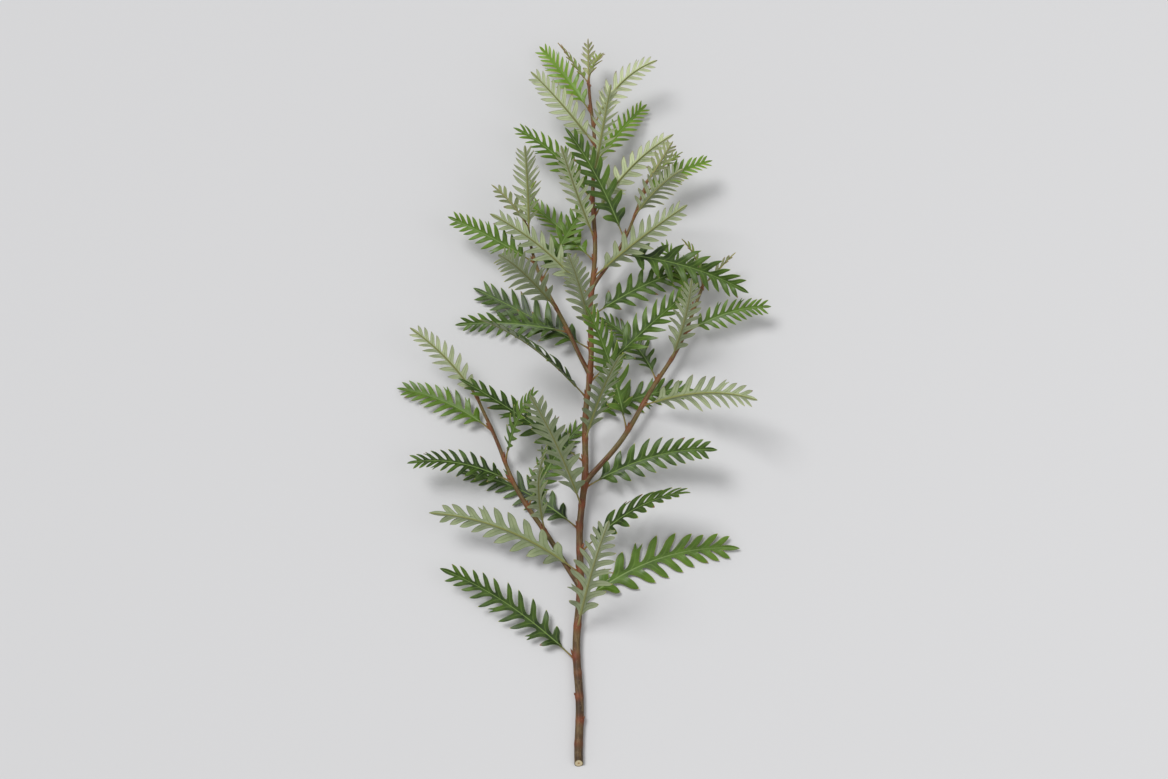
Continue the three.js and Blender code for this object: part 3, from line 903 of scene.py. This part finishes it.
def leaf_material(name, colours, rib_width, vein_share, roughness, relief, sheen, specular):
    """A leaf skin with its own colours and widths."""
    material, tree, surface = new_material(name)
    skin = add_node(tree, "ShaderNodeGroup", node_tree=leaf_skin)
    for socket, value in colours.items():
        skin.inputs[socket].default_value = colour(*value)
    skin.inputs["Rib Width"].default_value = rib_width
    skin.inputs["Vein Share"].default_value = vein_share
    surface.inputs["Sheen Weight"].default_value = sheen
    surface.inputs["Specular IOR Level"].default_value = specular
    shade, patches, height = (skin.outputs[socket] for socket in ("Colour", "Patches", "Relief"))
    finish_skin(tree, surface, shade, patches, roughness, height, strength=relief, depth=0.0002)
    return material


# The Edge and Tip colours paint the rim of this side lighter than the blade, as a painted highlight along
# the rolled edges; Tip also gives the pale points of the lobes.
leaf_upper = leaf_material(
    "leaf_upper",
    dict(
        Deep=(16, 32, 6), Light=(104, 142, 32), Rib=(116, 140, 76), Vein=(104, 132, 54),
        Edge=(66, 92, 26), Tip=(190, 184, 100), Stalk=(116, 106, 48),
    ),
    rib_width=0.62, vein_share=0.4, roughness=(0.38, 0.5), relief=0.1, sheen=0.0, specular=0.38,
)
# Its darker Vein colour is partly the vein's own olive colour and partly painted shade of the raised vein.
leaf_under = leaf_material(
    "leaf_under",
    dict(
        Deep=(118, 130, 94), Light=(188, 198, 156), Rib=(124, 128, 66), Vein=(104, 118, 64),
        Edge=(84, 106, 50), Tip=(160, 146, 80), Stalk=(140, 124, 68),
    ),
    rib_width=1.15, vein_share=0.6, roughness=(0.6, 0.72), relief=0.35, sheen=0.25, specular=0.3,
)

# The leaves. A winged rib runs the whole length of each, and its lobes are narrow blades, arched along
# and channelled across, that flow out of the wing with a round gap between them. A few lobes have two
# points or a dry tip. The edges roll under, the rib stands out below, and the stalk is sunk in the bark.
BLADE_THICK = 0.42
THIN = BLADE_THICK / 2
EDGE_ROUND = 0.13
LOBE_COLUMNS = (-1.0, -0.86, -0.45, 0.0, 0.45, 0.86, 1.0)
LOBE_ROWS = (0.03, 0.07, 0.12, 0.18, 0.25, 0.34, 0.45, 0.56, 0.67, 0.77, 0.86, 0.93, 0.975)
STALK_STATIONS = (0.0, 0.12, 0.3, 0.5, 0.72, 0.9)
END_STATIONS = (0.0, 0.2, 0.42, 0.64, 0.84, 0.95)
WING_COLUMNS = (0.0, 0.17, 0.34, 1.0)
STALK_COLUMNS = (0.0, 0.4, 0.75, 1.0)
END_COLUMNS = (0.0, 0.26, 0.86, 1.0)
STALK_SUNK = 1.9
STALK_HALF = 0.85
STALK_SWELL = 0.55
STALK_SWELL_LENGTH = 2.2
STALK_ROUND = 0.85
STALK_COLOURED = (0.25, 1.3)
BLADED = (0.7, 1.25)
RUSTY_RANGE = (-1, 5)
RIB_COLOURED = (1.4, 0.5)
RIB_RISE = 0.8
RIB_SIDE = 0.72
RIB_SUNK = 0.2
VEIN_START = -0.45
VEIN_RISE = 0.24
EDGE_RISE = 0.08
FLARE_BACK = 0.36
FLARE_FRONT = 0.17
LOBE_ARCH = 0.045
LOBE_ARC = 0.17
LOBE_WIDTH = (0.38, 0.52)
LOBE_POINT = (1.5, 3.2)
POINT_FROM = 0.32
EDGE_ROLL = 0.36
END_REACH = 0.3
LOBE_TURN = (-13, 13)
LOBE_SWAY = (-4, 4)
LOBE_FOLD = 0.42
LOBE_SETTLED = 0.3
LOBE_TINT = (-0.1, 0.1)
DRY_DRAWS = (0.94, 0.97)
DRY_RANGE = (0.8, 0.96)
FORK_FROM = 0.67
FORK_CHANCE = 0.07
PRONG_SHORTER = 0.84
PRONG_INNER = LOBE_COLUMNS[4]
PRONG_OUTER = 1.08
PRONG_TIP = 0.95
YOUNG_END = 0.16
OLD_TONE = 0.34
YOUNG_TONE = 0.54
LEAST_HEIGHT = 0.05
GRAIN_APART = (400, 3.0)
UPPER, UNDER = range(2)
LEAF_MASKS = ("off_vein", "off_rib", "along", "margin", "stalk", "rust", "tone", "dry")
EDGE_MASK = {1.0: 1.0, 0.86: 0.4, 0.45: 0.0, 0.0: 0.0}
WING_MASK = 0.3


class Sheet:
    """The middle surface of one leaf: its points with their relief, thickness and masks."""

    def __init__(self, pose, leaf, tone):
        self.surface = LeafSurface(pose)
        self.plan = leaf_plan(pose["length"], leaf)
        self.leaf = leaf
        self.tone = tone
        self.rows = []
        self.masks = []
        self.faces = []

    def add(self, u, v, lift=0.0, relief=0.0, above=THIN, below=THIN, tint=0.0, **masks):
        """A point u along and v across the leaf, how far the two skins lie from it, and its masks."""
        self.rows.append((*self.surface.place(u, v, lift), u, v, relief, above, below))
        length, stalk = self.plan["length"], self.plan["stalk"]
        masks["stalk"] = 1 - ease(u, STALK_COLOURED[0] * stalk, STALK_COLOURED[1] * stalk)
        masks["rust"] = 1 - ease(u, *RUSTY_RANGE)
        masks["off_rib"] = abs(v) / mix(*RIB_COLOURED, min(1, u / length))
        masks["tone"] = self.tone + tint + YOUNG_END * (u / length - 0.5)
        masks["off_vein"] = masks.get("off_vein", 1.0)
        self.masks.append([masks.get(name, 0.0) for name in LEAF_MASKS])
        return len(self.rows) - 1

    def face(self, side, *corners):
        self.faces.append(corners[::-1] if side else corners)


def rib_stations(plan, foot):
    """Every place along the rib, with the half width there and the lobe whose foot it belongs to."""
    stations = []
    for share in STALK_STATIONS:
        u = mix(-foot, plan["stalk"], share)
        swell = STALK_SWELL * math.exp(-((max(u, 0) / STALK_SWELL_LENGTH) ** 2))
        stations.append(dict(u=u, half=STALK_HALF + swell, lobe=None, x=1.0))
    ends = [row["half"] for row in plan["rows"][1:]] + [plan["end"]["half"]]
    for k, (row, end_half) in enumerate(zip(plan["rows"], ends)):
        for x in LOBE_COLUMNS[:-1]:
            share = (x + 1) / 2
            half = mix(row["half"], end_half, share)
            stations.append(dict(u=row["u"] + share * row["span"], half=half, lobe=k, x=x))
    for share in END_STATIONS:
        u = mix(plan["end"]["u"], plan["length"], share)
        half = plan["end"]["half"] * (1 - share ** 2) * (1 + 0.9 * share)
        stations.append(dict(u=u, half=half, lobe=None, x=1.0))
    return stations


def lobe_line(lobe, s):
    """The middle of a lobe at s of its length, the direction across it and its half width."""
    chord = lobe["chord"]
    lean = math.atan2(chord.y, chord.x) + LOBE_ARC
    first = Vector((math.cos(lean), math.sin(lean))) * (0.5 * chord.length)
    middle = lobe["foot"] + first * (2 * s * (1 - s)) + chord * (s * s)
    tangent = (first * (2 - 4 * s) + chord * (2 * s)).normalized()
    across = Vector((tangent.y, -tangent.x))
    narrowing = max(0.0, (s - POINT_FROM) / (1 - POINT_FROM)) ** lobe["point"]
    return middle, across, 0.5 * lobe["width"] * (1 - narrowing)


def lobe_point(lobe, x, s):
    """A point of a lobe, s of the way to its tip and x across it, with its flared foot."""
    root = lobe["root"].lerp(lobe["far_root"], (x + 1) / 2)
    flare = FLARE_BACK if x < 0 else FLARE_FRONT
    quarter = min(1.0, s / flare) * math.pi / 2
    reach = s if s >= flare else mix(s, flare * (1 - math.cos(quarter)), x * x)
    middle, across, half = lobe_line(lobe, reach)
    grown = root + (middle - lobe["foot"])
    return grown.lerp(middle + across * (x * half), math.sin(quarter))


def fork_point(lobe, x, s):
    """A point of one prong of a two-pointed lobe, which parts from the other at FORK_FROM."""
    reach = FORK_FROM + (s - FORK_FROM) * (1.0 if x > 0 else PRONG_SHORTER)
    t = (s - FORK_FROM) / (1 - FORK_FROM)
    half = lobe_line(lobe, FORK_FROM)[2]
    middle, across = lobe_line(lobe, reach)[:2]
    inner = mix(PRONG_INNER, PRONG_TIP, t)
    outer = mix(PRONG_OUTER, PRONG_TIP, t * t)
    share = (abs(x) - PRONG_INNER) / (1 - PRONG_INNER)
    return middle + across * (math.copysign(mix(inner, outer, share), x) * half)


def add_lobe(sheet, side, row, number, far_root, rim):
    """One lobe from the points of the wing's rim at its foot out to its tip, or to its two tips."""
    leaf = sheet.leaf
    pairs = len(sheet.plan["rows"])
    which = 2 * number + side
    sign = -1 if side else 1
    lobe = dict(row["lobes"][side], far_root=far_root)
    reach = 1 + END_REACH * ease(number, pairs - 3, pairs - 1)
    sway = math.radians(drawn(LOBE_SWAY, leaf, "lobe_sway", which))
    lobe["chord"] = Matrix.Rotation(sway, 2) @ (lobe["tip"] - lobe["foot"]) * reach
    lobe["tip"] = lobe["foot"] + lobe["chord"]
    lobe["width"] = row["span"] * drawn(LOBE_WIDTH, leaf, "lobe_width")
    lobe["point"] = drawn(LOBE_POINT, leaf, "lobe_point")
    turn = math.tan(math.radians(drawn(LOBE_TURN, leaf, "lobe_turn", which)))
    tint = drawn(LOBE_TINT, leaf, "lobe_tint", which)
    dry = ease(draw(leaf, "lobe_dry", which), *DRY_DRAWS)
    forked = 0 < number < pairs - 2 and draw(leaf, "lobe_fork", which) < FORK_CHANCE
    before = rim

    def across_rows(low, high):
        """Faces between two rows of points; where two corners are one point, the face has three."""
        for c in range(len(LOBE_COLUMNS) - 1):
            sheet.face(side, *dict.fromkeys((low[c], high[c], high[c + 1], low[c + 1])))

    for s in LOBE_ROWS:
        settled = ease(s, 0.0, LOBE_SETTLED)
        lift = lobe["lift"] * s * s + LOBE_ARCH * lobe["tip"].y * math.sin(math.pi * s) * settled
        turned = turn * lobe_line(lobe, s)[2]
        parted = forked and s > FORK_FROM
        line = []
        for c, x in enumerate(LOBE_COLUMNS):
            if parted and x == 0:
                line.append(before[c])
                continue
            spot = fork_point(lobe, x, s) if parted else lobe_point(lobe, x, s)
            channel = LOBE_FOLD * abs(x) * (1 - 0.6 * s) - EDGE_ROLL * abs(x) ** 5
            line.append(sheet.add(
                spot.x, sign * spot.y, lift,
                relief=(turned * x + channel) * settled,
                below=THIN + (VEIN_RISE * (1 - 0.7 * s) if x == 0 else EDGE_RISE * abs(x) ** 5),
                off_vein=abs(x),
                along=s,
                margin=EDGE_MASK[abs(x)],
                tint=tint * settled,
                dry=dry * ease(s, *DRY_RANGE),
            ))
        across_rows(before, line)
        before = line
    tips = [fork_point(lobe, x, 1) for x in (-1, 1)] if forked else [lobe["tip"]]
    ends = [
        sheet.add(end.x, sign * end.y, lobe["lift"], above=0.12, below=0.12, along=1.0, margin=1.0, dry=dry)
        for end in tips
    ]
    middle = len(LOBE_COLUMNS) // 2
    across_rows(before, [ends[0]] * middle + [before[middle] if forked else ends[0]] + [ends[-1]] * middle)


def leaf_sheet(pose, leaf, tone):
    """The middle surface of a leaf, from the sunk end of its stalk to the tip of its rib, with its lobes."""
    sheet = Sheet(pose, leaf, tone)
    plan = sheet.plan
    stations = rib_stations(plan, foot=STALK_SUNK / max(0.35, math.sin(pose["opening"])))
    ribs = []
    for station in stations:
        u, half = station["u"], station["half"]
        bladed = station["bladed"] = ease(u, BLADED[0] * plan["stalk"], BLADED[1] * plan["stalk"])
        station["rise"] = RIB_RISE * (1 - 0.6 * ease(u, 0.35 * plan["length"], plan["length"]))
        station["ended"] = ease(u, plan["end"]["u"] - 1, plan["end"]["u"] + 3)
        above = mix(STALK_ROUND * half, THIN, bladed)
        below = mix(STALK_ROUND * half, THIN + station["rise"], bladed)
        ribs.append(sheet.add(u, 0, relief=-RIB_SUNK * bladed, above=above, below=below))
    tip = sheet.add(plan["length"], 0, above=0.1, below=0.1, along=1.0, margin=1.0)
    for side in (0, 1):
        lines = [[rib] for rib in ribs]
        for station, line in zip(stations, lines):
            for c in (1, 2, 3):
                add_wing_point(sheet, -1 if side else 1, station, c, line)
        for station, low, high in zip(stations, lines[:-1], lines[1:]):
            for c in range(3):
                if c == 2 and station["x"] == VEIN_START:
                    sheet.face(side, low[2], low[3], high[3])
                    sheet.face(side, low[2], high[3], high[2])
                else:
                    sheet.face(side, low[c], low[c + 1], high[c + 1], high[c])
        for c in range(3):
            sheet.face(side, lines[-1][c], lines[-1][c + 1], tip)
        for k, row in enumerate(plan["rows"]):
            first = next(i for i, station in enumerate(stations) if station["lobe"] == k)
            rim = [line[3] for line in lines[first:first + len(LOBE_COLUMNS)]]
            end = stations[first + len(LOBE_COLUMNS) - 1]
            add_lobe(sheet, side, row, k, Vector((end["u"], end["half"])), rim)
    return sheet


def add_wing_point(sheet, sign, station, c, line):
    """One point of the stalk, the wing or the end of a leaf, in column c beside the rib."""
    bladed = station["bladed"]
    share = mix(WING_COLUMNS[c], END_COLUMNS[c], station["ended"])
    share = mix(STALK_COLUMNS[c], share, bladed)
    round_side = STALK_ROUND * station["half"] * math.sqrt(max(0.03, 1 - share * share))
    ridge = RIB_SIDE * station["rise"] if c == 1 else 0.0
    edge = 0.0 if c < 3 else 1.0 if station["lobe"] is None else WING_MASK * (station["x"] == -1)
    line.append(sheet.add(
        station["u"], sign * share * station["half"],
        above=mix(round_side, THIN, bladed),
        below=mix(round_side, THIN + ridge, bladed),
        off_vein=abs(station["x"] - (VEIN_START if c < 3 else 0)),
        margin=bladed * edge,
    ))


def add_leaf(shape, pose, leaf, tone):
    """Gives the middle surface of a leaf its thickness, a finish for each side and a round edge."""
    sheet = leaf_sheet(pose, leaf, tone)
    table = np.array(sheet.rows)
    masks = np.array(sheet.masks)
    middle, flat = table[:, 0:3], table[:, 3:5]
    relief, thick_above, thick_below = table[:, 5, None], table[:, 6, None], table[:, 7, None]
    normals = np.zeros_like(middle)
    for face in sheet.faces:
        a, b, c = middle[face[0]], middle[face[1]], middle[face[-1]]
        normals[list(face)] += np.cross(b - a, c - a)
    normals /= np.linalg.norm(normals, axis=1, keepdims=True)
    above = middle + normals * (relief + thick_above)
    below = middle + normals * (relief - thick_below)
    facing_up = normals[:, 2] > 0
    above[:, 2] = np.maximum(above[:, 2], LEAST_HEIGHT + BLADE_THICK * facing_up)
    below[:, 2] = np.maximum(below[:, 2], LEAST_HEIGHT + BLADE_THICK * ~facing_up)
    outline = {}
    for face in sheet.faces:
        for p, q in zip(face, face[1:] + face[:1]):
            if outline.pop((q, p), None) is None:
                outline[(p, q)] = True
    outward = {}
    for p, q in outline:
        push = np.cross(middle[q] - middle[p], normals[p])
        for i in (p, q):
            outward[i] = outward.get(i, 0) + push
    rim = list(outward)
    rounds = [(above[i] + below[i]) / 2 + outward[i] / np.linalg.norm(outward[i]) * EDGE_ROUND for i in rim]

    def add(points, chosen=slice(None)):
        grain = [(u, v + GRAIN_APART[0] * leaf, GRAIN_APART[1] * leaf) for u, v in flat[chosen]]
        values = dict(zip(LEAF_MASKS, masks[chosen].T.tolist()))
        return shape.add_points([Vector(point) for point in points], grain, **values)

    top = add(above)
    under = add(below)
    edge = add(rounds, rim)
    edge_of = {i: edge + n for n, i in enumerate(rim)}
    shape.add_faces([tuple(top + i for i in face) for face in sheet.faces], UPPER)
    shape.add_faces([tuple(under + i for i in face[::-1]) for face in sheet.faces], UNDER)
    for p, q in outline:
        shape.add_faces([(top + p, edge_of[p], edge_of[q], top + q)], UPPER)
        shape.add_faces([(edge_of[p], under + p, under + q, edge_of[q])], UNDER)


for leaf in leaves:
    shape = Shape()
    young = ease(leaf["t"], 0.5, 1.0) * (1.0 if leaf["axis"] is main_axis else 0.8)
    tone = OLD_TONE * draw(leaf["seed"], "tone") ** 1.3 + YOUNG_TONE * young
    add_leaf(shape, leaf["pose"], leaf["seed"], tone)
    piece = shape.piece("fine_" + leaf["name"], [leaf_upper, leaf_under])
    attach(piece, "root")
    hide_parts(leaf["name"])

# The growing tips. Each unpruned shoot ends in a downy bud with two or three young leaves, small,
# soft and olive green, silky below.
YOUNG_LEAF = 52
YOUNG_STEP = 8
YOUNG_OPENING = 30
YOUNG_CLOSING = 7
YOUNG_SEAT = 0.3
YOUNG_AHEAD = 2.4
YOUNG_SPACING = 2.2
FIRST_TIP_SEED = 200
SEEDS_A_TIP = 5
TIP_BUD_LENGTH = 9.6
TIP_BUD_RADIUS = 1.35
TIP_BUD_SUNK = 0.6
TIP_BUD_HAIRS = 90
YOUNG_HAIRS = 90
SILK_LEAN = (0.8, 0.7)
SILK_SIDES = (-0.8, 0.8)
SILK_PLACES = (-0.5, 0.5)
SILK_LENGTHS = (0.5, 1.1)
SILK_SUNK = 0.25
TIP_FINISH = 2
young_upper = leaf_material(
    "young_upper",
    dict(
        Deep=(84, 106, 34), Light=(122, 148, 50), Rib=(150, 160, 86), Vein=(136, 156, 76),
        Edge=(118, 114, 52), Tip=(134, 80, 44), Stalk=(124, 108, 54),
    ),
    rib_width=0.45, vein_share=0.5, roughness=(0.38, 0.5), relief=0.1, sheen=0.1, specular=0.4,
)
# Its darker Vein colour is partly the vein's own olive colour and partly painted shade of the raised vein.
young_under = leaf_material(
    "young_under",
    dict(
        Deep=(142, 152, 102), Light=(178, 186, 136), Rib=(156, 150, 90), Vein=(124, 134, 78),
        Edge=(112, 122, 60), Tip=(138, 88, 52), Stalk=(140, 124, 72),
    ),
    rib_width=0.7, vein_share=0.7, roughness=(0.58, 0.72), relief=0.25, sheen=0.4, specular=0.3,
)


def add_silk(shape, pose, seed):
    """Silky hairs along the lower side of a young leaf's rib."""
    blade = LeafSurface(pose)
    for k in range(YOUNG_HAIRS):
        s = (k + 0.5) / YOUNG_HAIRS
        along, normal, side = blade.frame_at(s)
        lean = along * SILK_LEAN[0] - normal * SILK_LEAN[1] + side * drawn(SILK_SIDES, seed + k, "silk_side")
        place = blade.place(s * pose["length"], drawn(SILK_PLACES, seed + k, "silk_place"))
        length = drawn(SILK_LENGTHS, seed + k, "silk_length")
        add_hair(shape, place - normal * SILK_SUNK, lean.normalized(), length, TIP_FINISH + 1)


for number, axis in enumerate(growing):
    shape = Shape()
    way = axis.along(1)
    foot = axis.at(1) - way * TIP_BUD_SUNK
    add_bud(shape, foot, way, TIP_BUD_LENGTH, TIP_BUD_RADIUS, 1.0, TIP_BUD_HAIRS, TIP_FINISH)
    for i in range(3 if axis is main_axis else 2):
        seed = FIRST_TIP_SEED + SEEDS_A_TIP * number + i
        pose = leaf_pose(axis, 1, YOUNG_LEAF - YOUNG_STEP * i, seed, 3 * number + i, 0)
        pose["opening"] = math.radians(YOUNG_OPENING - YOUNG_CLOSING * i)
        pose["seat"] = YOUNG_SEAT
        pose["ahead"] = YOUNG_AHEAD + YOUNG_SPACING * i
        pose["lie_flat"] *= 0.5
        add_leaf(shape, pose, seed, draw(seed, "tone"))
        add_silk(shape, pose, seed)
    piece = shape.piece(f"fine_shoot_tip_{number + 1}", [young_upper, young_under, bark, down])
    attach(piece, "root")
    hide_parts(f"shoot_tip_{number + 1}")

# The studio: a plain pale floor, wide enough to fill every view, under broad soft light from the
# upper left, a weak light from the right and an even pale surrounding.
FLOOR_REACH = 15.0
FLOOR_COLOUR = colour(203, 203, 204)
KEY_OFFSET = Vector((-0.46, 0.42, 0.95))
FILL_OFFSET = Vector((1.6, -0.6, 1.8))
SURROUNDING = (0.99, 0.99, 1.0, 1.0)
floor_mesh = bpy.data.meshes.new("floor")
corners = [(x * FLOOR_REACH, y * FLOOR_REACH, 0) for x, y in ((-1, -1), (1, -1), (1, 1), (-1, 1))]
floor_mesh.from_pydata(corners, [], [(0, 1, 2, 3)])
paper, tree, surface = new_material("pale_floor")
surface.inputs["Base Color"].default_value = FLOOR_COLOUR
surface.inputs["Roughness"].default_value = 0.9
surface.inputs["Specular IOR Level"].default_value = 0.1
floor_mesh.materials.append(paper)
floor = add_object("floor", floor_mesh)
floor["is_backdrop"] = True

low, high = (Vector(corner) for corner in cad_box)
centre = (low + high) / 2


def add_light(name, kind, energy, offset, **settings):
    """A light that looks at the middle of the stem from an offset."""
    light = bpy.data.lights.new(name, kind)
    light.energy = energy
    for setting, value in settings.items():
        setattr(light, setting, value)
    made = add_object(name, light)
    made.location = centre + offset
    made.rotation_euler = (-offset).to_track_quat("-Z", "Y").to_euler()


add_light("key", "SUN", 2.2, KEY_OFFSET, angle=math.radians(24))
add_light("fill", "AREA", 7, FILL_OFFSET, shape="DISK", size=1.8)
world = bpy.data.worlds.new("studio")
world.use_nodes = True
world.node_tree.nodes["Background"].inputs["Color"].default_value = SURROUNDING
world.node_tree.nodes["Background"].inputs["Strength"].default_value = 0.5
bpy.context.scene.world = world
bpy.context.scene.view_settings.view_transform = "Standard"

# The camera looks down on the stem from just short of straight above, its tip towards the top of
# the picture, with the whole length filling most of the picture's height.
ELEVATION = math.radians(76)
LENS = 70
SENSOR = 36
PICTURE = (1168, 779)
FILL = 0.97
AIM_HEIGHT = 0.02
camera_data = bpy.data.cameras.new("camera")
camera_data.lens = LENS
camera_data.sensor_width = SENSOR
camera = add_object("camera", camera_data)
back = Vector((0, -math.cos(ELEVATION), math.sin(ELEVATION)))
view_up = Vector((0, math.sin(ELEVATION), math.cos(ELEVATION)))
half_angle = math.atan(SENSOR / LENS / 2 * PICTURE[1] / PICTURE[0])
aim = Vector((centre.x, centre.y, AIM_HEIGHT))
corners = [Vector((x, y, z)) for x in (low.x, high.x) for y in (low.y, high.y) for z in (low.z, high.z)]
heights = [view_up.dot(corner - aim) for corner in corners]
distance = (max(heights) - min(heights)) / FILL / 2 / math.tan(half_angle)
camera.location = aim + back * distance
camera.rotation_euler = (aim - camera.location).to_track_quat("-Z", "Y").to_euler()
bpy.context.scene.camera = camera

visual_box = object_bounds()
boxes = {"cad": cad_box, "visual": visual_box}
{name: [list(corner) for corner in box] for name, box in boxes.items()}
